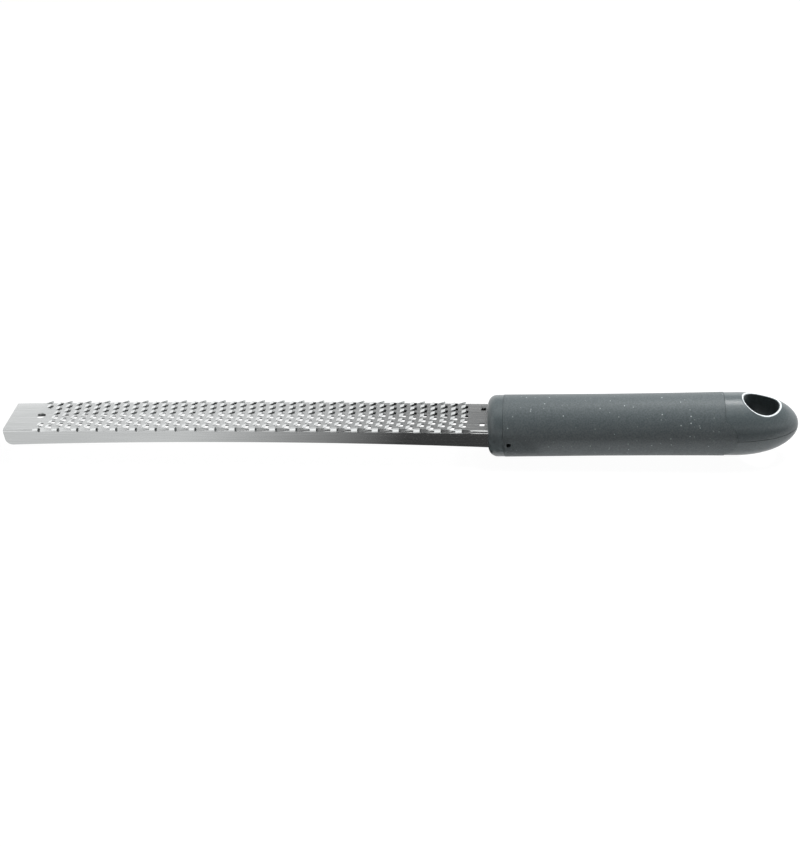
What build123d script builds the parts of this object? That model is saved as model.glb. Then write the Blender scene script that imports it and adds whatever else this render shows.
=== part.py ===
"""Rasp zester: an etched steel channel blade, held by its tang between two handle shells
with a soft grip sleeve round them.

Modelled with the blade's tip at X = 0, the blade along +X, its teeth up, and Z = 0 on the
handle's axis where the blade enters it. The finished pieces are moved so that the origin is
the middle of the hanging hole.
"""
import os
from math import cos, pi, radians, sin, sqrt, tan

from build123d import *

# Folded blade
blade_reach = 202.3        # from the tip to the handle's front face
blade_width = 20.7         # over the two flanges
sheet = 0.5                # stainless strip
fold_bevel = 0.8           # flat that stands for the bend, along each of its two sides
blade_rise = 4.6           # top face above the handle's axis
flange_depth = 7.9         # at both ends
flange_relief = 1.6        # how much shallower the flanges are at mid length
tip_corner = 3.0           # rounded lower front corner of each flange

# Holes in the blade
tip_hole_radius = 1.95
tip_hole_at = 13.65        # from the tip
jig_hole_size = 2.0        # the two square holes beside the handle
jig_hole_spacing = 10.8
jig_hole_setback = 2.25    # their centres in front of the handle

# Etched teeth: staggered columns across the blade, each bowed towards the handle
first_column = 15.95       # from the tip to the middle of the first column
column_pitch = 4.21
column_bow = 1.1           # middle of a column stands this much nearer the handle
plain_end = 9.2            # strip without teeth in front of the handle
mouth_length = 2.7         # opening of one tooth, along the blade
mouth_width = 1.8
edge_land = 0.2            # metal between the outer openings and those of the folds
tooth_lift = 0.65          # cutting edge above the face
tooth_edge = 0.12          # thickness that is left at the cutting edge
tooth_root = 0.8           # how far in front of its opening a tooth starts to rise
tooth_reach = 1.5          # from the opening's front end to the cutting edge

# Teeth on the two folds, one at each end of every second column
fold_edge_shift = 0.6      # cutting edge behind the end of its column
fold_mouth_length = 5.6    # opening behind the cutting edge
fold_mouth_top = 1.05      # how far it reaches across the top face
fold_mouth_side = 1.15     # how far it reaches down the flange
fold_tooth_length = 2.2
fold_tooth_width = 1.3
fold_tooth_hang = 1.1      # how much of the tooth hangs over its opening
fold_tooth_sheet = 0.22    # etched thickness
fold_tooth_lift = 0.7      # outwards, at 45 degrees

# Tang, hidden in the handle
channel_seat = 4.8         # how deep the full channel enters the handle
tang_length = 44.0         # from the handle's front face
tang_width = 14.0
tang_corner = 3.0
moulding_gap = 0.1         # round the blade, and along the seams of the handle

# Pegs on the lower shell: two through the tang, and one behind it
peg_radius = 2.4
peg_height = 3.0           # above the blade's top face at the handle
peg_gap = 0.15
tang_peg_inset = 10.0      # from each end of the narrow tang
rear_peg_setback = 17.0    # in front of the grip's rear end

# Handle
handle_length = 121.2
handle_tilt = 0.85         # degrees that its rear end stands up
handle_radius = 12.5
nose_round = 3.5           # rounded front edge
dome_length = 23.5         # elliptical tail end
nose_tapers = 3            # the rounded ends are turned in short tapers
dome_tapers = 6
hang_hole_radius = 6.75
hang_hole_setback = 14.6   # from the tail end to the hole's axis
hang_hole_bevel = 0.8      # eased rim

# Grip sleeve
collar_length = 6.4        # bare plastic in front of the grip
grip_rear = 92.6           # from the front face to its rear end, above and below
grip_lobe = 4.3            # how far the rear end reaches back on each side
grip_lobe_half = 7.5
grip_blend = 2.5           # rounding between the lobes and the rest of the rear end
grip_wall = 2.1
grip_proud = 0.15
dimple_radius = 0.9        # mould pin mark on each side
dimple_setback = 2.1       # behind the grip's front end

overrun = 5.0              # how far cutting tools pass a face

# Sizes that follow from these
mid = blade_reach / 2
half_width = blade_width / 2
flange_foot = blade_rise - flange_depth
channel_end = blade_reach + channel_seat
tang_end = blade_reach + tang_length
peg_length = blade_rise + peg_height
tang_peg_places = channel_end + tang_peg_inset, tang_end - tang_peg_inset
rear_peg_place = blade_reach + grip_rear - rear_peg_setback
handle_place = Location((blade_reach, 0, 0), (0, -handle_tilt, 0))
parting = Plane(handle_place)
core_radius = handle_radius - grip_wall
clear_radius = handle_radius + overrun
hang_hole_reach = handle_length - hang_hole_setback
hang_hole_centre = (
    blade_reach + hang_hole_reach, 0, hang_hole_reach * tan(radians(handle_tilt))
)
corner_share = 1 - sqrt(0.5)
bevel_share = 2 - sqrt(2)


def hanging_section(grown):
    """Filled section that hangs from the top face's line, grown or shrunk all round."""
    outline = Pos(0, grown) * Rectangle(
        blade_width + 2 * grown, 2 * flange_depth, align=(Align.CENTER, Align.MAX)
    )
    bevel = fold_bevel + grown * bevel_share
    return chamfer(outline.vertices().group_by(Axis.Y)[-1], bevel)


def wall_section(gap=0):
    """Section of the folded sheet, grown by a gap on both faces."""
    return hanging_section(gap) - hanging_section(-sheet - gap)


def along_blade(section):
    """Bar of a section under the top face's line, from before the tip to past the tang."""
    return Pos(-overrun, 0, blade_rise) * extrude(Plane.YZ * section, tang_end + 2 * overrun)


def plan_outline(gap=0):
    """The blade seen from above: full width, then the narrow tang."""
    back = channel_end + gap
    wide = Rectangle(back + overrun, 2 * blade_width, align=(Align.MIN, Align.CENTER))
    narrow = RectangleRounded(2 * tang_length + 2 * gap, tang_width + 2 * gap, tang_corner)
    outline = Pos(-overrun) * wide + Pos(blade_reach) * narrow
    return extrude(outline, 2 * flange_depth, both=True)


def side_outline(gap=0):
    """The blade seen from the side: rounded tip corners and bowed lower edges."""
    top = blade_rise + overrun
    foot = flange_foot - gap
    back = tang_end + overrun
    inset = tip_corner * corner_share
    outline = Curve() + [
        Line((back, top), (0, top)),
        Line((0, top), (0, foot + tip_corner)),
        ThreePointArc((0, foot + tip_corner), (inset, foot + inset), (tip_corner, foot)),
        ThreePointArc((tip_corner, foot), (mid, foot + flange_relief), (blade_reach, foot)),
        Line((blade_reach, foot), (back, foot)),
        Line((back, foot), (back, top)),
    ]
    return extrude(make_face(Plane.XZ * outline), blade_width, both=True)


def blade_blank(gap=0):
    """Folded channel and tang before the holes, or with a gap the space that they need."""
    return along_blade(wall_section(gap)) & side_outline(gap) & plan_outline(gap)


def wedge(*corners):
    """Bar as wide as one tooth, from the corners of its side view."""
    profile = Plane.XZ * make_face(Polyline(*corners, close=True))
    return extrude(profile, mouth_width / 2, both=True)


def make_tooth():
    """One tooth's rise and its opening, both about the middle of the opening."""
    front = -mouth_length / 2
    edge = front + tooth_reach
    back = mouth_length / 2
    base = -sheet / 2
    rise = wedge((front - tooth_root, base), (edge, tooth_lift), (edge, base))
    slope = (tooth_lift - tooth_edge + sheet) / tooth_reach
    foot = -2 * sheet
    mouth = wedge(
        (front - sheet / slope, foot),
        (back, tooth_lift - tooth_edge + (back - edge) * slope),
        (back, foot),
    )
    return rise, mouth


def make_fold_tooth():
    """One tooth of the fold at +Y, its edge at X = 0: a flat tongue that flares outwards."""
    inset = fold_bevel / 2 + fold_tooth_sheet * sqrt(0.5)
    strip = Rot(0, 0, -45) * Rectangle(fold_tooth_width, fold_tooth_sheet)
    root = Pos(-fold_tooth_length) * (Plane.YZ * Pos(half_width - inset, -inset) * strip)
    flare = (fold_tooth_lift + fold_tooth_sheet) * sqrt(0.5)
    return Solid.extrude(root.face(), Vector(fold_tooth_length, flare, flare))


def tooth_places():
    """Places of the teeth on the top face, and of the cutting edges on the folds."""
    columns = int((blade_reach - plain_end - first_column) / column_pitch) + 1
    outer_row = half_width - fold_mouth_top - edge_land - mouth_width / 2
    row_pitch = outer_row / 2.5
    face_places, fold_places = [], []
    for column in range(columns):
        middle = first_column + column * column_pitch
        if column % 2:
            rows = [-2.5, -1.5, -0.5, 0.5, 1.5, 2.5]
        elif column:
            rows = [-2, -1, 0, 1, 2]
        else:
            rows = [-2, 2]
        for row in rows:
            offset = row * row_pitch
            station = middle - column_bow * (offset / half_width) ** 2
            face_places.append(Pos(station, offset, blade_rise))
        if column % 2 == 0:
            fold_places.append(Pos(middle - column_bow + fold_edge_shift, 0, blade_rise))
    return face_places, fold_places


def make_blade():
    """The etched and folded blade with its tang."""
    face_places, fold_places = tooth_places()
    rise, mouth = make_tooth()
    holes = [place * mouth for place in face_places]
    rises = [place * rise for place in face_places]

    fold_mouth = Box(
        fold_mouth_length + fold_tooth_hang, 2 * fold_mouth_top, 2 * fold_mouth_side
    )
    mouth_middle = (fold_mouth_length - fold_tooth_hang) / 2
    far_tooth = make_fold_tooth()
    near_tooth = mirror(far_tooth, about=Plane.XZ)
    fold_teeth = []
    for place in fold_places:
        holes.append(place * Pos(mouth_middle, half_width) * fold_mouth)
        holes.append(place * Pos(mouth_middle, -half_width) * fold_mouth)
        fold_teeth.append(place * far_tooth)
        fold_teeth.append(place * near_tooth)

    depth = 4 * sheet
    for side in (-1, 1):
        corner = Pos(blade_reach - jig_hole_setback, side * jig_hole_spacing / 2, blade_rise)
        holes.append(corner * Box(jig_hole_size, jig_hole_size, depth))
    holes.append(Pos(tip_hole_at, 0, blade_rise) * Cylinder(tip_hole_radius, depth))
    for place in tang_peg_places:
        holes.append(Pos(place, 0, blade_rise) * Cylinder(peg_radius + peg_gap, depth))
    return blade_blank() + rises - holes + fold_teeth


def handle_skin(proud=0):
    """Outside of the whole handle, turned about its own axis from X = 0."""
    radius = handle_radius + proud
    outline = [(0, 0)]
    for step in range(nose_tapers + 1):
        turn = pi / 2 * step / nose_tapers
        outline.append(
            (nose_round * (1 - cos(turn)), radius - nose_round * (1 - sin(turn)))
        )
    for step in range(dome_tapers + 1):
        turn = pi / 2 * step / dome_tapers
        outline.append(
            (handle_length - dome_length * (1 - sin(turn)), radius * cos(turn))
        )
    outline[-1] = (handle_length, 0)
    profile = make_face(Polyline(*outline, close=True))

    # The turned surface starts between the hanging hole and the dimples, clear of both.
    return Rot(45) * revolve(profile, Axis.X)


def grip_zone(setback=0):
    """Length of the handle that the grip covers, drawn from the side with its rear lobes."""
    front = collar_length + setback
    rear = grip_rear - setback
    block = Rectangle(rear - front, 2 * clear_radius, align=(Align.MIN, Align.CENTER))
    outline = Pos(front) * block + Pos(rear) * Ellipse(grip_lobe, grip_lobe_half)
    inner_corners = outline.vertices().group_by(Axis.X)[1].sort_by(Axis.Y)[1:-1]
    return extrude(Plane.XZ * fillet(inner_corners, grip_blend), clear_radius, both=True)


def core_rod(gap=0):
    """Round bar through the whole handle, under the grip."""
    bar = Cylinder(core_radius + gap, handle_length, align=(Align.CENTER, Align.CENTER, Align.MIN))
    return Rot(0, 90, 0) * bar


def make_peg(place, gap=0):
    """Locating peg that stands up from the lower shell, or with a gap its socket."""
    alignment = (Align.CENTER, Align.CENTER, Align.MIN)
    return Pos(place) * Cylinder(peg_radius + gap, peg_length + gap, align=alignment)


def make_shells():
    """The two hard shells, each with its half of the collar and of the tail."""
    skin = handle_place * handle_skin()
    bore = Pos(hang_hole_centre) * Cylinder(hang_hole_radius, 2 * clear_radius)
    body = skin - bore
    body = chamfer(body.edges().filter_by(GeomType.BSPLINE), hang_hole_bevel)
    body -= handle_place * (grip_zone() - core_rod())
    upper = split(body, parting, Keep.TOP)
    lower = split(body, parting, Keep.BOTTOM)

    # The lower shell rises under the blade and carries the pegs; the upper one closes over it.
    seat = along_blade(hanging_section(0)) & plan_outline() & skin
    lower += split(seat, parting, Keep.TOP)
    lower -= blade_blank(moulding_gap)
    upper -= along_blade(hanging_section(moulding_gap)) & plan_outline(moulding_gap)
    for place in (*tang_peg_places, rear_peg_place):
        lower += make_peg(place)
        upper -= make_peg(place, peg_gap)
    return upper, lower


def make_sleeve():
    """Soft grip sleeve."""
    sleeve = (handle_skin(grip_proud) & grip_zone(moulding_gap)) - core_rod(moulding_gap)
    pin = Pos(collar_length + dimple_setback) * Rot(90) * Cylinder(dimple_radius, 2 * clear_radius)
    return handle_place * (sleeve - pin)


core_upper, core_lower = make_shells()
pieces = {
    "rasp_blade": make_blade(),
    "core_upper": core_upper,
    "core_lower": core_lower,
    "grip_sleeve": make_sleeve(),
}
os.makedirs("parts", exist_ok=True)
to_origin = Pos(hang_hole_centre).inverse()
for name, piece in pieces.items():
    export_step(to_origin * piece, f"parts/{name}.step")
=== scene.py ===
"""Looks of the rasp zester: its etched blade and the three moulded pieces of its handle, each
modelled anew in place of its plain solid, on a white table in studio light.

The object's lengths are written in millimetres and turned to metres by MM. The table, cards,
lamps and camera are in metres. The origin is the middle of the hanging hole, the blade points
to -X and its teeth stand up.
"""
from math import atan2, cos, pi, radians, sin, sqrt

import bmesh
import bpy
from mathutils import Matrix, Vector


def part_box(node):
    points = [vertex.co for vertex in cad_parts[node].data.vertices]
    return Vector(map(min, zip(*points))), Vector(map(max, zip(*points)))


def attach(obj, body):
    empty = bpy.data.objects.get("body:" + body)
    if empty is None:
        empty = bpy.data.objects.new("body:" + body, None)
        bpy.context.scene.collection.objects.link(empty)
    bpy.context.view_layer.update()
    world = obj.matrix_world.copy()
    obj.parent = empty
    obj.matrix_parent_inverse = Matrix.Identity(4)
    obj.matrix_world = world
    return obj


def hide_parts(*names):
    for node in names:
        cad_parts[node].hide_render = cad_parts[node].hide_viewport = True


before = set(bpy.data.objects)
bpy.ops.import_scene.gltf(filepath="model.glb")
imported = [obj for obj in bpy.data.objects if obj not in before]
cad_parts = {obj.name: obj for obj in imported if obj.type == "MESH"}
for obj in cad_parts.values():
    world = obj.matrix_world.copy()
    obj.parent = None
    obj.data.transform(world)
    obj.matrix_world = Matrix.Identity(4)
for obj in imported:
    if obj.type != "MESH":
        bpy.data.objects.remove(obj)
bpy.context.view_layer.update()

MM = 0.001

# Blade, seen from its tip
TIP = -308.9               # where its tip stands
REACH = 202.3              # from the tip to the handle
WIDTH = 20.7
SHEET = 0.5                # stainless strip
FOLD = 1.4                 # outside radius of the two long folds
CROWN = 0.95               # the middle stands this much above the two ends
TOP = 3.64                 # top face at mid length, before the crown
END_DEPTH = 7.62           # flanges at both ends
MID_DEPTH = 6.55           # flanges at mid length
TIP_CORNER = 3.0
HIDDEN = 4.6               # how far the channel goes on inside the handle
MIDDLE = TIP + REACH / 2
MIDDLE_SPAN = 2.5          # on each side of the middle, where the bows along the blade start

# Openings in the blade
FIRST_COLUMN = 15.94       # middle of the first column's openings
COLUMN_PITCH = 4.21
COLUMNS = 43
COLUMN_BOW = 1.1
ROW_PITCH = 1.67
MOUTH = 2.7, 1.85          # one opening, along and across the blade
TIP_HOLE = 13.65, 1.95     # place and radius
JIG_HOLE = 200.05, 5.4, 2.0  # place along and across, and size
CORNER = 0.3               # rounded corners of the openings and jig holes
THROUGH = 4 * SHEET        # height of what cuts through the top face

# Teeth
TONGUE = 1.7, 1.85         # one tooth, along and across
TOOTH_ROOT = 0.1           # how far it starts inside the sheet before its opening
TOOTH_LIFT = 0.65
TOOTH_SHEET = 0.18
FOLD_EDGE = 15.47          # first cutting edge on the folds
FOLD_FLAT = 5.7, 0.36      # etched flat behind each of them, and its greatest depth
FOLD_TONGUE = 2.6
FOLD_LIFT = 0.8

# Handle, along its own axis from its front face
FRONT = TIP + REACH
AXIS = -1.58               # height of its axis at the front face
TILT = 0.85                # degrees that its rear end stands up
LENGTH = 121.2
SHELL = 12.45              # radius of the hard shells
NOSE = 3.5                 # rounded front edge
DOME = 23.5                # rounded tail end
DOME_STEPS = 20
COLLAR = 6.4
GRIP_END = 92.6            # above and below
LOBE = 4.3, 7.5            # how far the grip reaches back on each side, and half its height
CORE = 10.4                # round bar under the grip
GRIP_WAIST = (6.4, 12.55), (28.7, 12.45), (44.7, 12.36), (68.2, 12.4), (83.7, 12.5), (97, 12.62)
PIN = 2.1, -1, 1           # mould pin's mark: behind the collar, above the axis, and radius
HOLE = 6.8
HOLE_ROUND = 0.9
PAINTED_HIGHLIGHT = 7.3                  # radius of the ring round the hole where a highlight is painted into the colour
PAINTED_HIGHLIGHT_EDGE = 0.2, 0.4        # the painted highlight starts to fade this far off that radius, and ends
SEAM = 0.1                 # narrow gap round the grip, and half the width of the parting line
SEAM_DEPTH = 0.3
FACETS = 96                # round the handle
CLEAR = 20                 # above or below the axis by this much, nothing of the handle is left

# Modelling
NEAR = 0.01                # how close to a place a point counts as there
WELD = 0.001               # points closer than this are merged
BLADE_SMOOTH = 16          # degrees between two facets, up to which they are shaded as one
HANDLE_SMOOTH = 30


def metres(lengths):
    return [length * MM for length in lengths]


def linear(hexes):
    """sRGB hex to the linear values that Blender's sockets take."""
    values = [int(hexes[i:i + 2], 16) / 255 for i in (1, 3, 5)]
    return [v / 12.92 if v <= 0.04045 else ((v + 0.055) / 1.055) ** 2.4 for v in values] + [1]


def quiet():
    """Nothing selected, and object mode."""
    if bpy.context.object and bpy.context.object.mode != "OBJECT":
        bpy.ops.object.mode_set(mode="OBJECT")
    bpy.ops.object.select_all(action="DESELECT")


def only(piece):
    quiet()
    piece.select_set(True)
    bpy.context.view_layer.objects.active = piece


def pick_all():
    bpy.ops.mesh.select_all(action="SELECT")


def edit(piece):
    """Edit mode, with the whole mesh selected."""
    only(piece)
    bpy.ops.object.mode_set(mode="EDIT")
    pick_all()


def pick(piece, kind, test):
    """In edit mode, select the vertices, edges or faces whose middle passes a test."""
    mesh = bmesh.from_edit_mesh(piece.data)
    mesh.select_mode = {{"verts": "VERT", "edges": "EDGE", "faces": "FACE"}[kind]}
    bpy.ops.mesh.select_all(action="DESELECT")
    for part in getattr(mesh, kind):
        corners = [part] if kind == "verts" else part.verts
        middle = sum((corner.co for corner in corners), Vector()) / len(corners) / MM
        part.select_set(bool(test(middle)))
    mesh.select_flush_mode()
    bmesh.update_edit_mesh(piece.data)


def slide(x=0, y=0, z=0, **options):
    bpy.ops.transform.translate(value=metres((x, y, z)), **options)


def bow(height, reach, shape="INVERSE_SQUARE", y=0):
    """Lift what is selected, and what is near it less and less, as one smooth bow."""
    slide(
        y=y, z=height, use_proportional_edit=True, proportional_edit_falloff=shape,
        proportional_size=reach * MM
    )


def face_outwards():
    pick_all()
    bpy.ops.mesh.normals_make_consistent(inside=False)


def started(name):
    """Name the primitive that was just added, and put its place and size into its mesh."""
    piece = bpy.context.object
    piece.name = piece.data.name = name
    bpy.ops.object.transform_apply(location=True, rotation=True, scale=True)
    return piece


def box(name, size, place=(0, 0, 0)):
    quiet()
    bpy.ops.mesh.primitive_cube_add(size=1, location=metres(place))
    bpy.context.object.scale = metres(size)
    return started(name)


def flat_grid(name, cuts, size, place):
    quiet()
    bpy.ops.mesh.primitive_grid_add(
        x_subdivisions=cuts[0], y_subdivisions=cuts[1], size=1, location=metres(place)
    )
    bpy.context.object.scale = metres(size) + [1]
    return started(name)


def rod(name, facets, radius, length, place=(0, 0, 0), turn=(0, 0, 0), ends="NGON"):
    """A round bar, upright unless it is given a turn in degrees."""
    quiet()
    bpy.ops.mesh.primitive_cylinder_add(
        vertices=facets, radius=radius * MM, depth=length * MM, end_fill_type=ends,
        location=metres(place), rotation=[radians(angle) for angle in turn]
    )
    return started(name)


def turned(name, profile):
    """A closed body turned about the X axis from the points of half its outline."""
    quiet()
    bpy.ops.mesh.primitive_plane_add(size=MM)
    body = started(name)
    edit(body)
    bpy.ops.mesh.merge(type="CENTER")
    here = 0, 0
    for x, radius in profile:
        if (x, radius) != (0, 0):
            bpy.ops.mesh.extrude_region_move()
            slide(x=x - here[0], z=radius - here[1])
        here = x, radius
    pick_all()
    bpy.ops.mesh.spin(steps=FACETS, angle=2 * pi, axis=(1, 0, 0), center=(0, 0, 0))
    pick_all()
    bpy.ops.mesh.remove_doubles(threshold=WELD * MM)
    face_outwards()
    quiet()
    return body


def arc(centre, radii, angles, steps):
    """Points of an oval arc from one angle to another, both ends among them."""
    (x, z), (wide, high), (first, last) = centre, radii, angles
    points = []
    for step in range(steps + 1):
        turn = radians(first + (last - first) * step / steps)
        points.append((x + wide * cos(turn), z + high * sin(turn)))
    return points


def finish_with(piece, kind, **settings):
    """Give a piece a modifier and apply it."""
    only(piece)
    modifier = piece.modifiers.new(kind.lower(), kind)
    for name, value in settings.items():
        setattr(modifier, name, value)
    bpy.ops.object.modifier_apply(modifier=modifier.name)


def cut(piece, tool, operation="DIFFERENCE"):
    finish_with(piece, "BOOLEAN", operation=operation, object=tool, solver="EXACT")


def copy_at(piece, x=0, y=0):
    """A copy with its own mesh, moved in its mesh."""
    twin = piece.copy()
    twin.data = piece.data.copy()
    twin.data.transform(Matrix.Translation(Vector((x, y, 0)) * MM))
    bpy.context.scene.collection.objects.link(twin)
    return twin


def mirrored(piece):
    """A copy on the other side of the blade, turned the right way out."""
    twin = copy_at(piece)
    twin.data.transform(Matrix.Scale(-1, 4, (0, 1, 0)))
    twin.data.flip_normals()
    return twin


def joined(pieces, name):
    quiet()
    for piece in pieces:
        piece.select_set(True)
    bpy.context.view_layer.objects.active = pieces[0]
    bpy.ops.object.join()
    pieces[0].name = pieces[0].data.name = name
    return pieces[0]


def put_away(*tools):
    for tool in tools:
        bpy.data.objects.remove(tool)


def mid_length(at):
    return abs(at.x - MIDDLE) < MIDDLE_SPAN


def channel():
    """The folded strip: a flat face whose long edges are pulled down and rounded."""
    length = REACH + HIDDEN
    side = WIDTH / 2
    low = TOP - MID_DEPTH
    blade = flat_grid(
        "etched_blade", cuts=(50, 2), size=(length, WIDTH), place=(TIP + length / 2, 0, TOP)
    )
    edit(blade)
    pick(blade, "edges", lambda at: abs(at.y) > side - NEAR)
    bpy.ops.mesh.extrude_region_move()
    slide(z=-MID_DEPTH)
    # The lower edges, on their own, are dropped and then bowed up in the middle.
    pick(blade, "verts", lambda at: at.z < low + NEAR)
    slide(z=MID_DEPTH - END_DEPTH)
    bpy.ops.mesh.hide(unselected=True)
    pick(blade, "verts", mid_length)
    bow(END_DEPTH - MID_DEPTH, REACH / 2)
    bpy.ops.mesh.reveal(select=False)
    pick(blade, "verts", lambda at: at.z < low and at.x < TIP + NEAR)
    bpy.ops.mesh.bevel(offset=TIP_CORNER * MM, segments=6, affect="VERTICES")
    pick(blade, "edges", lambda at: abs(at.y) > side - NEAR and at.z > TOP - NEAR)
    bpy.ops.mesh.bevel(offset=FOLD * MM, segments=7)
    face_outwards()
    finish_with(blade, "SOLIDIFY", thickness=SHEET * MM, offset=-1, use_even_offset=True)
    return blade


def opening_cutter(name, along, across, x=0, y=0):
    """A bar through the top face, as long and wide as one opening, its corners rounded."""
    cutter = box(name, (along, across, THROUGH), (x, y, TOP))
    edit(cutter)
    pick(cutter, "edges", lambda at: abs(at.z - TOP) < NEAR)
    bpy.ops.mesh.bevel(offset=CORNER * MM, segments=2)
    quiet()
    return cutter


def fold_cutter():
    """A wedge that takes a flat off the fold at -Y, deep at X = 0 and running out behind it."""
    length, depth = FOLD_FLAT
    across, high = 4, 3
    cutter = box("fold_cutter", (length, across, high), (length / 2, 0, high / 2))
    edit(cutter)
    pick(cutter, "verts", lambda at: at.z < NEAR and at.x < NEAR)
    slide(z=-depth)
    quiet()
    middle = FOLD * (1 - sqrt(0.5))
    cutter.data.transform(
        Matrix.Translation(Vector((0, middle - WIDTH / 2, TOP - middle)) * MM)
        @ Matrix.Rotation(radians(45), 4, "X")
    )
    return cutter


def tooth():
    """A tongue that rises from the front end of its opening to a free cutting edge."""
    root = -MOUTH[0] / 2 - TOOTH_ROOT
    tongue = flat_grid(
        "tooth", cuts=(5, 2), size=TONGUE, place=(root + TONGUE[0] / 2, 0, TOP)
    )
    edit(tongue)
    pick(tongue, "verts", lambda at: at.x > root + TONGUE[0] - NEAR)
    bow(TOOTH_LIFT, TONGUE[0], "LINEAR")
    finish_with(tongue, "SOLIDIFY", thickness=TOOTH_SHEET * MM, offset=-1)
    return tongue


def fold_tooth():
    """The tongue on the fold at -Y: it follows the bend and lifts outwards at 45 degrees."""
    y, z = FOLD - WIDTH / 2, TOP - FOLD
    tongue = rod(
        "fold_tooth", 24, FOLD, FOLD_TONGUE, (-FOLD_TONGUE / 2, y, z), turn=(0, 90, 0),
        ends="NOTHING"
    )
    edit(tongue)
    # Of the round, only the part within about 50 degrees of the way that it lifts is kept.
    pick(tongue, "faces", lambda at: at.y - at.z < y - z - FOLD * 0.9)
    bpy.ops.mesh.select_all(action="INVERT")
    bpy.ops.mesh.delete(type="FACE")
    for share in (0.25, 0.5, 0.75):
        pick_all()
        bpy.ops.mesh.bisect(plane_co=(-share * FOLD_TONGUE * MM, 0, 0), plane_no=(1, 0, 0))
    pick(tongue, "verts", lambda at: at.x > -NEAR)
    out = FOLD_LIFT * sqrt(0.5)
    bow(out, FOLD_TONGUE, "LINEAR", y=-out)
    finish_with(tongue, "SOLIDIFY", thickness=TOOTH_SHEET * MM, offset=-1)
    return tongue


def tooth_places():
    """Where the openings are, along and across the blade, and the edges on the folds. Two
    kinds of column take turns, and the first has only its outer openings."""
    places, edges = [], []
    for column in range(COLUMNS):
        middle = TIP + FIRST_COLUMN + column * COLUMN_PITCH
        if column % 2:
            rows = -5, -3, -1, 1, 3, 5
        elif column:
            rows = -4, -2, 0, 2, 4
        else:
            rows = -4, 4
        for row in rows:
            across = row * ROW_PITCH
            places.append((middle - COLUMN_BOW * (2 * across / WIDTH) ** 2, across))
        if column % 2 == 0:
            edges.append(TIP + FOLD_EDGE + column * COLUMN_PITCH)
    return places, edges


def etched_blade():
    """The channel with its openings cut, a raised tooth at each, and its slight crown."""
    places, edges = tooth_places()
    blade = channel()

    mouth = opening_cutter("opening_cutter", *MOUTH)
    near_flat, tongue, near_tooth = fold_cutter(), tooth(), fold_tooth()
    far_flat, far_tooth = mirrored(near_flat), mirrored(near_tooth)
    openings = [copy_at(mouth, x, y) for x, y in places]
    teeth = [copy_at(tongue, x, y) for x, y in places]
    flats = []
    for edge in edges:
        flats += [copy_at(flat, edge) for flat in (near_flat, far_flat)]
        teeth += [copy_at(fold, edge) for fold in (near_tooth, far_tooth)]

    along, radius = TIP_HOLE
    openings.append(rod("tip_hole_cutter", 40, radius, THROUGH, (TIP + along, 0, TOP)))
    along, off, size = JIG_HOLE
    for side in (-1, 1):
        openings.append(opening_cutter("jig_hole_cutter", size, size, TIP + along, side * off))
    for group in (openings, flats):
        cutter = joined(group, "cutters")
        cut(blade, cutter)
        put_away(cutter)
    put_away(mouth, near_flat, far_flat, tongue, near_tooth, far_tooth)

    blade = joined([blade] + teeth, "etched_blade")
    edit(blade)
    slide(z=-CROWN)
    pick(blade, "verts", mid_length)
    bow(CROWN, REACH / 2)
    only(blade)
    bpy.ops.object.shade_smooth_by_angle(angle=radians(BLADE_SMOOTH))
    return blade


def grip_zone(inside=0):
    """Where the grip goes, seen from the side: a bar with an oval lobe at its rear end."""
    zone = box(
        "grip_zone", (GRIP_END - COLLAR - 2 * inside, 2 * CLEAR, 2 * CLEAR),
        ((COLLAR + GRIP_END) / 2, 0, 0)
    )
    quiet()
    bpy.ops.mesh.primitive_cylinder_add(
        vertices=64, radius=1, depth=2 * CLEAR * MM, rotation=(radians(90), 0, 0),
        location=(GRIP_END * MM, 0, 0)
    )
    back, half_height = LOBE
    bpy.context.object.scale = metres((back - inside, half_height - inside)) + [1]
    lobe = started("lobe")
    cut(zone, lobe, "UNION")
    put_away(lobe)
    return zone


def hanging_bore(core):
    """What the hanging hole takes away: a rod whose two mouths open in a round that follows
    the handle's surface all the way about."""
    middle = -FRONT * MM
    steps = 4
    quiet()
    bpy.ops.mesh.primitive_circle_add(
        vertices=64, radius=HOLE * MM, location=(middle, 0, CLEAR * MM)
    )
    bore = started("hanging_bore")
    edit(bore)
    rings = [(HOLE, HOLE_ROUND)]
    for step in range(1, steps + 1):
        turn = radians(90 * step / steps)
        radius = HOLE + HOLE_ROUND * (1 - cos(turn))
        share = radius / rings[-1][0]
        bpy.ops.mesh.extrude_region_move()
        bpy.ops.transform.resize(
            value=(share, share, 1), center_override=(middle, 0, CLEAR * MM)
        )
        rings.append((radius, HOLE_ROUND * (1 - sin(turn))))
    finish_with(
        bore, "SHRINKWRAP", target=core, wrap_method="PROJECT", use_project_z=True,
        use_negative_direction=True, use_positive_direction=False
    )
    edit(bore)

    def pick_ring(radius):
        pick(bore, "verts", lambda at: abs(
            Vector((at.x + FRONT, at.y)).length - radius) < NEAR)

    def draw_out(level):
        """Extrude what is selected to a flat ring at a level."""
        bpy.ops.mesh.extrude_region_move()
        bpy.ops.transform.resize(value=(1, 1, 0), center_override=(middle, 0, level * MM))

    for radius, depth in rings:
        pick_ring(radius)
        slide(z=-depth)
    pick_ring(rings[-1][0])
    draw_out(CLEAR)
    bpy.ops.mesh.edge_face_add()
    pick_ring(HOLE)
    draw_out(0)
    finish_with(bore, "MIRROR", use_axis=(False, False, True), merge_threshold=NEAR * MM)
    edit(bore)
    face_outwards()
    quiet()
    return bore


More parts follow.
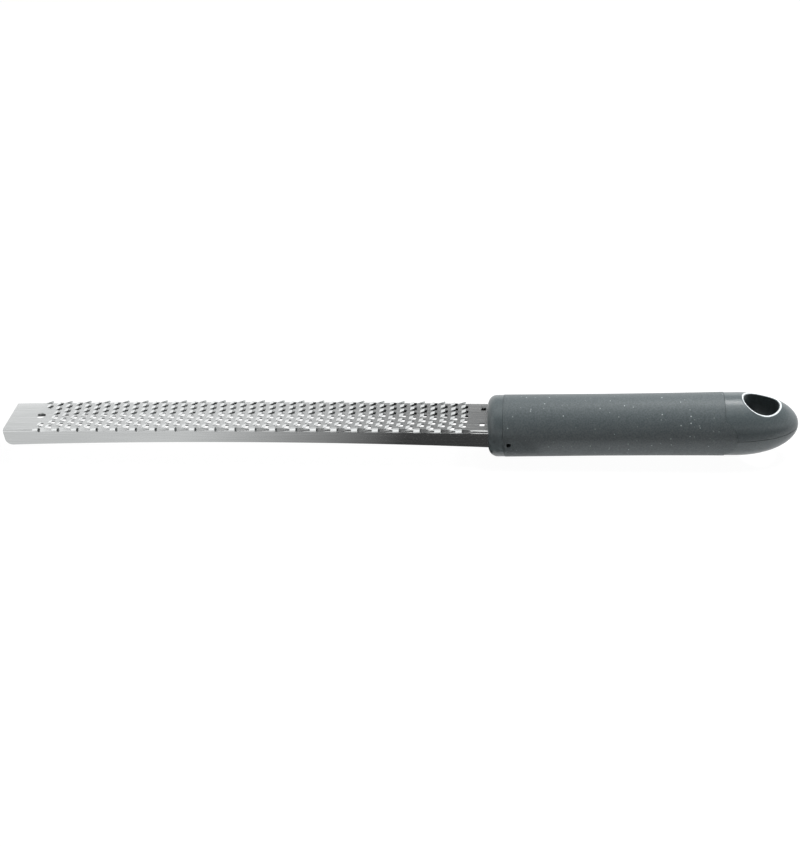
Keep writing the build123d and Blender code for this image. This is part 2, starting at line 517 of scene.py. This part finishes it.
def parting_plate():
    """A thin plate with the handle's outline cut out of it, a little smaller: it leaves the
    fine line where the two shells meet round the tail."""
    size = 60                # reaches past the tail and both sides
    plate = box("parting_plate", (size, size, 2 * SEAM), (GRIP_END + size / 2, 0, 0))
    inside = SHELL - SEAM_DEPTH
    dome = arc((LENGTH - DOME, 0), (DOME - SEAM_DEPTH, inside), (90, 0), DOME_STEPS)
    outline = turned(
        "outline", [(0, 0), (0, inside)] + dome[:-1] + [(LENGTH - SEAM_DEPTH, 0)]
    )
    cut(plate, outline)
    put_away(outline)
    return plate


def handle():
    """The hard core in two shells, with the hanging hole, and the soft grip round them."""
    nose = arc((NOSE, SHELL - NOSE), (NOSE, NOSE), (180, 90), steps=8)
    dome = arc((LENGTH - DOME, 0), (DOME, SHELL), (90, 0), DOME_STEPS)
    core = turned("core", [(0, 0)] + nose + dome[:-1] + [(LENGTH, 0)])

    widest = GRIP_WAIST[0][1]
    skin = turned(
        "speckled_grip",
        [(COLLAR - 1, 0), (COLLAR - 1, widest)] + list(GRIP_WAIST) + [(GRIP_WAIST[-1][0], 0)]
    )
    behind, above, radius = PIN
    pin = rod("pin", 24, radius, 3 * widest, (COLLAR + behind, 0, above), turn=(90, 0, 0))
    zone, small_zone = grip_zone(), grip_zone(SEAM)
    inner_bar = rod("inner_bar", FACETS, CORE, 2 * LENGTH, turn=(0, 90, 0))
    cut(skin, small_zone, "INTERSECT")
    cut(skin, inner_bar)
    cut(skin, pin)
    cut(zone, inner_bar)
    bore, plate = hanging_bore(core), parting_plate()
    for tool in (bore, zone, plate):
        cut(core, tool)
    put_away(zone, small_zone, inner_bar, bore, pin, plate)

    upper, lower = core, copy_at(core)
    for shell, name, side in (
        (upper, "moulded_shell_upper", 1),
        (lower, "moulded_shell_lower", -1),
    ):
        block = box(
            "block", (2 * LENGTH, 4 * CLEAR, 2 * CLEAR), (LENGTH / 2, 0, side * CLEAR)
        )
        cut(shell, block, "INTERSECT")
        put_away(block)
        shell.name = shell.data.name = name
    place = Matrix.Translation(Vector((FRONT, 0, AXIS)) * MM) @ Matrix.Rotation(
        radians(-TILT), 4, "Y"
    )
    for piece in (upper, lower, skin):
        piece.data.transform(place)
        only(piece)
        bpy.ops.object.shade_smooth_by_angle(angle=radians(HANDLE_SMOOTH))
    return upper, lower, skin


def add(tree, kind, sockets=(), **settings):
    """Add a node with its settings. Each socket, named or numbered, gets a value, or a link
    from another node's output."""
    node = tree.nodes.new("ShaderNode" + kind)
    for name, value in settings.items():
        setattr(node, name, value)
    for socket, value in dict(sockets).items():
        if isinstance(value, bpy.types.NodeSocket):
            tree.links.new(value, node.inputs[socket])
        else:
            node.inputs[socket].default_value = value
    return node


def new_material(name):
    material = bpy.data.materials.new(name)
    material.use_nodes = True
    material.node_tree.nodes.remove(material.node_tree.nodes["Principled BSDF"])
    return material, material.node_tree


def put_on(material, shader):
    output = material.node_tree.nodes["Material Output"]
    material.node_tree.links.new(shader.outputs[0], output.inputs["Surface"])
    return material


def brushed_stainless():
    """Stainless strip, brushed along its length before it was etched: fine lines that
    stretch each reflection across the blade. They are 30 mm long and 0.3 mm wide, coarser
    than real brushing, so that they show."""
    steel, tree = new_material("brushed_stainless")
    place = add(tree, "TexCoord").outputs["Object"]
    lengthwise = add(tree, "Mapping", {"Vector": place, "Scale": (30, 3000, 3000)})
    lines = add(
        tree, "TexNoise", {"Vector": lengthwise.outputs["Vector"], "Scale": 1, "Detail": 3}
    ).outputs["Fac"]
    bump = add(tree, "Bump", {"Strength": 0.15, "Distance": 0.02 * MM, "Height": lines})
    dull = add(tree, "MapRange", {"Value": lines, "To Min": 0.18, "To Max": 0.32})
    share = add(tree, "MapRange", {"Value": lines, "From Min": 0.3, "From Max": 0.7})
    tone = add(
        tree, "Mix", {0: share.outputs["Result"], 6: linear("#cacccc"), 7: linear("#dadcdc")},
        data_type="RGBA"
    )
    return put_on(steel, add(tree, "BsdfPrincipled", {
        "Base Color": tone.outputs[2], "Metallic": 1, "Roughness": dull.outputs["Result"],
        "Normal": bump.outputs["Normal"]
    }))


def mottled(tree, place, dark, light):
    """Moulded plastic's grain, 0.6 mm across, and its uneven tone between two colours."""
    grain = add(tree, "TexNoise", {"Vector": place, "Scale": 1700, "Detail": 3}).outputs["Fac"]
    share = add(tree, "MapRange", {"Value": grain, "From Min": 0.35, "From Max": 0.65})
    tone = add(
        tree, "Mix", {0: share.outputs["Result"], 6: linear(dark), 7: linear(light)},
        data_type="RGBA"
    )
    return grain, tone.outputs[2]


def speckled_grip():
    """Thermoplastic elastomer, moulded: a dull, grained skin. Nearly half of the cells,
    2 mm wide, hold a fleck, most of them faint."""
    rubber, tree = new_material("moulded_speckled_elastomer")
    place = add(tree, "TexCoord").outputs["Object"]
    grain, tone = mottled(tree, place, "#444b4d", "#545b5d")
    cells = add(tree, "TexVoronoi", {"Vector": place, "Scale": 550}).outputs
    dots = add(tree, "MapRange", {
        "Value": cells["Distance"], "From Min": 0.08, "From Max": 0.17,
        "To Min": 1, "To Max": 0
    })
    lot = add(tree, "SeparateColor", {"Color": cells["Color"]}).outputs["Red"]
    chosen = add(tree, "MapRange", {"Value": lot, "From Min": 0.55, "From Max": 1})
    bright = add(
        tree, "Math", {0: dots.outputs["Result"], 1: chosen.outputs["Result"]},
        operation="MULTIPLY"
    )
    flecked = add(
        tree, "Mix", {0: bright.outputs[0], 6: tone, 7: linear("#b4bbbd")}, data_type="RGBA"
    )
    bump = add(tree, "Bump", {"Strength": 0.3, "Distance": 0.03 * MM, "Height": grain})
    return put_on(rubber, add(tree, "BsdfPrincipled", {
        "Base Color": flecked.outputs[2], "Roughness": 0.5, "IOR": 1.5,
        "Normal": bump.outputs["Normal"]
    }))


def hard_shell():
    """Polypropylene, moulded in a finely blasted tool: the same blue grey, slightly glossier.
    The rim of the hanging hole has a painted highlight: a light ring in the colour, about 0.6
    mm wide."""
    plastic, tree = new_material("moulded_polypropylene")
    place = add(tree, "TexCoord").outputs["Object"]
    grain, tone = mottled(tree, place, "#474e50", "#525a5c")
    # Painted highlight: a light ring in the colour round the hanging hole stands in for the
    # glint on its rounded lip.
    level = add(tree, "Mapping", {"Vector": place, "Scale": (1, 1, 0)}).outputs["Vector"]
    radius = add(tree, "VectorMath", {0: level}, operation="LENGTH").outputs["Value"]
    past = add(tree, "Math", {0: radius, 1: PAINTED_HIGHLIGHT * MM}, operation="SUBTRACT").outputs[0]
    off = add(tree, "Math", {0: past}, operation="ABSOLUTE").outputs[0]
    painted_highlight = add(tree, "MapRange", {
        "Value": off, "From Min": PAINTED_HIGHLIGHT_EDGE[0] * MM, "From Max": PAINTED_HIGHLIGHT_EDGE[1] * MM,
        "To Min": 1, "To Max": 0
    })
    tone_and_painted_highlight = add(
        tree, "Mix", {0: painted_highlight.outputs["Result"], 6: tone, 7: linear("#cfd5d7")},
        data_type="RGBA"
    )
    bump = add(tree, "Bump", {"Strength": 0.15, "Distance": 0.02 * MM, "Height": grain})
    return put_on(plastic, add(tree, "BsdfPrincipled", {
        "Base Color": tone_and_painted_highlight.outputs[2], "Roughness": 0.33, "IOR": 1.49,
        "Normal": bump.outputs["Normal"]
    }))


def white_table():
    """White to the camera and in reflections, and a plain pale surface to other light. The
    camera sees a share of that surface too, so that the object's shadow shows on it."""
    table, tree = new_material("white_table")
    path = add(tree, "LightPath").outputs
    seen = path["Is Camera Ray"]
    for ray in ("Is Glossy Ray", "Is Transmission Ray"):
        seen = add(tree, "Math", {0: seen, 1: path[ray]}, operation="MAXIMUM").outputs[0]
    share = add(tree, "Math", {0: seen, 1: 0.88}, operation="MULTIPLY")
    plain = add(tree, "BsdfDiffuse", {"Color": linear("#e8e8e8")})
    glow = add(tree, "Emission", {"Color": linear("#ffffff"), "Strength": 1.1})
    return put_on(table, add(
        tree, "MixShader", {0: share.outputs[0], 1: plain.outputs[0], 2: glow.outputs[0]}
    ))


def graded_paper():
    """Light at the left and black at the right."""
    paper, tree = new_material("graded_card")
    place = add(tree, "TexCoord").outputs["Object"]
    x = add(tree, "SeparateXYZ", {"Vector": place}).outputs["X"]
    shade = add(tree, "MapRange", {
        "Value": x, "From Min": -0.24, "From Max": -0.143, "To Min": 0.78, "To Max": 0.05
    })
    return put_on(paper, add(tree, "Emission", {"Strength": shade.outputs["Result"]}))


def black_paper(name, tone):
    paper, tree = new_material(name)
    return put_on(paper, add(tree, "BsdfDiffuse", {"Color": linear(tone)}))


def set_world():
    """A studio: white near the ground all round and right overhead. Above that, the wall
    behind is light on the left and darker on the right, and over the camera all is dark but
    for the far left. Dull surfaces get a low light, most of it from behind."""
    world = bpy.data.worlds.new("studio")
    bpy.context.scene.world = world
    world.use_nodes = True
    tree = world.node_tree
    place = add(tree, "TexCoord").outputs["Generated"]
    x, y, z = add(tree, "SeparateXYZ", {0: place}).outputs

    # Each goes from one value to another while the way there turns to the right, away from
    # the camera or up.
    wall, far_left, above_ground, overhead, behind, dull = (
        add(
            tree, "MapRange",
            {"Value": way, "From Min": start, "From Max": end, "To Min": low, "To Max": high},
            interpolation_type="SMOOTHSTEP"
        ).outputs["Result"]
        for way, start, end, low, high in (
            (x, -0.21, -0.115, 0.9, 0.19),
            (x, -0.6, -0.25, 1.5, 0.05),
            (z, 0.3, 0.45, 0, 1),
            (z, 0.9, 0.98, 0, 1),
            (y, -0.25, 0.25, 0, 1),
            (y, -0.3, 0.3, 0.05, 0.55),
        )
    )
    low_back, low_front, top = 1.4, 1.1, 1.4
    back = add(tree, "Mix", {0: above_ground, 2: low_back, 3: wall}).outputs[0]
    front = add(tree, "Mix", {0: above_ground, 2: low_front, 3: far_left}).outputs[0]
    sides = add(tree, "Mix", {0: behind, 2: front, 3: back}).outputs[0]
    whole = add(tree, "Mix", {0: overhead, 2: sides, 3: top}).outputs[0]
    diffuse = add(tree, "LightPath").outputs["Is Diffuse Ray"]
    level = add(tree, "Mix", {0: diffuse, 2: whole, 3: dull}).outputs[0]
    background = tree.nodes["Background"]
    background.inputs["Color"].default_value = linear("#ffffff")
    tree.links.new(level, background.inputs["Strength"])


def set_table(low):
    quiet()
    bpy.ops.mesh.primitive_plane_add(size=3, location=(0, 0, low))
    table = bpy.context.object
    table.name = "white_table"
    table.data.materials.append(white_table())


def card(name, paper, size, place, slope=0):
    """A card that only reflections see."""
    quiet()
    bpy.ops.mesh.primitive_plane_add(size=1, location=place, rotation=(slope, 0, 0))
    bpy.context.object.scale = *size, 1
    made = started(name)
    made.data.materials.append(paper)
    made.visible_camera = made.visible_diffuse = made.visible_shadow = False


def set_cards(low):
    """One in front grades the near side of the steel, one under the blade is the shade inside
    the channel, and one that rises before the handle draws the dark band along its side."""
    card(
        "graded_card", graded_paper(), size=(0.5, 0.5),
        place=(FRONT * MM - 0.23, -0.2625, low + MM)
    )
    card(
        "under_card", black_paper("under_card", "#1c1e1f"), size=(REACH * MM, 0.023),
        place=(MIDDLE * MM, -0.0005, low + 2 * MM)
    )
    near, far = Vector((0.05, -0.035, low + MM)), Vector((0.05, -0.45, 0.1))
    card(
        "dark_card", black_paper("dark_card", "#101112"), size=(0.3, (far - near).length),
        place=(near + far) / 2, slope=atan2(near.z - far.z, near.y - far.y)
    )


def softbox(name, place, aim, size, power):
    light = bpy.data.lights.new(name, "AREA")
    light.size = size
    light.energy = power
    lamp = bpy.data.objects.new(name, light)
    bpy.context.scene.collection.objects.link(lamp)
    lamp.location = place
    lamp.rotation_euler = (Vector(aim) - Vector(place)).to_track_quat("-Z", "Y").to_euler()
    return lamp


def set_camera():
    """Where the photograph was taken from: in front of the tool, 35 degrees above it."""
    data = bpy.data.cameras.new("camera")
    data.sensor_fit = "HORIZONTAL"
    data.sensor_width = 36
    data.lens = 61.23
    camera = bpy.data.objects.new("camera", data)
    bpy.context.scene.collection.objects.link(camera)
    right = 0.990431, 0.114287, -0.077365
    up = -0.003084, 0.578762, 0.815491
    back = 0.137976, -0.807448, 0.573576
    place = -0.066274, -0.448091, 0.317663
    turn = Matrix((right, up, back)).transposed().to_4x4()
    camera.matrix_world = Matrix.Translation(place) @ turn
    bpy.context.scene.camera = camera


def main():
    bpy.context.scene.view_settings.view_transform = "Standard"
    set_camera()

    steel, rubber, plastic = brushed_stainless(), speckled_grip(), hard_shell()
    upper, lower, grip = handle()
    for piece, node, finish, slot in (
        (etched_blade(), "rasp_blade", steel, "etched_stainless"),
        (upper, "core_upper", plastic, "hard_polypropylene"),
        (lower, "core_lower", plastic, "hard_polypropylene"),
        (grip, "grip_sleeve", rubber, "speckled_soft_grip"),
    ):
        piece.data.materials.clear()
        piece.data.materials.append(finish)
        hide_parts(node)
        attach(piece, "root")

    set_world()
    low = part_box("grip_sleeve")[0].z
    set_table(low)
    set_cards(low)
    lamp = softbox("top_light", (0.06, 0.1, 0.49), aim=(-0.03, 0, 0), size=0.2, power=3.6)
    lamp.visible_glossy = False
    softbox("highlight", (0.03, 0.24, 0.45), aim=(0, 0, 0), size=0.12, power=0.8)


main()
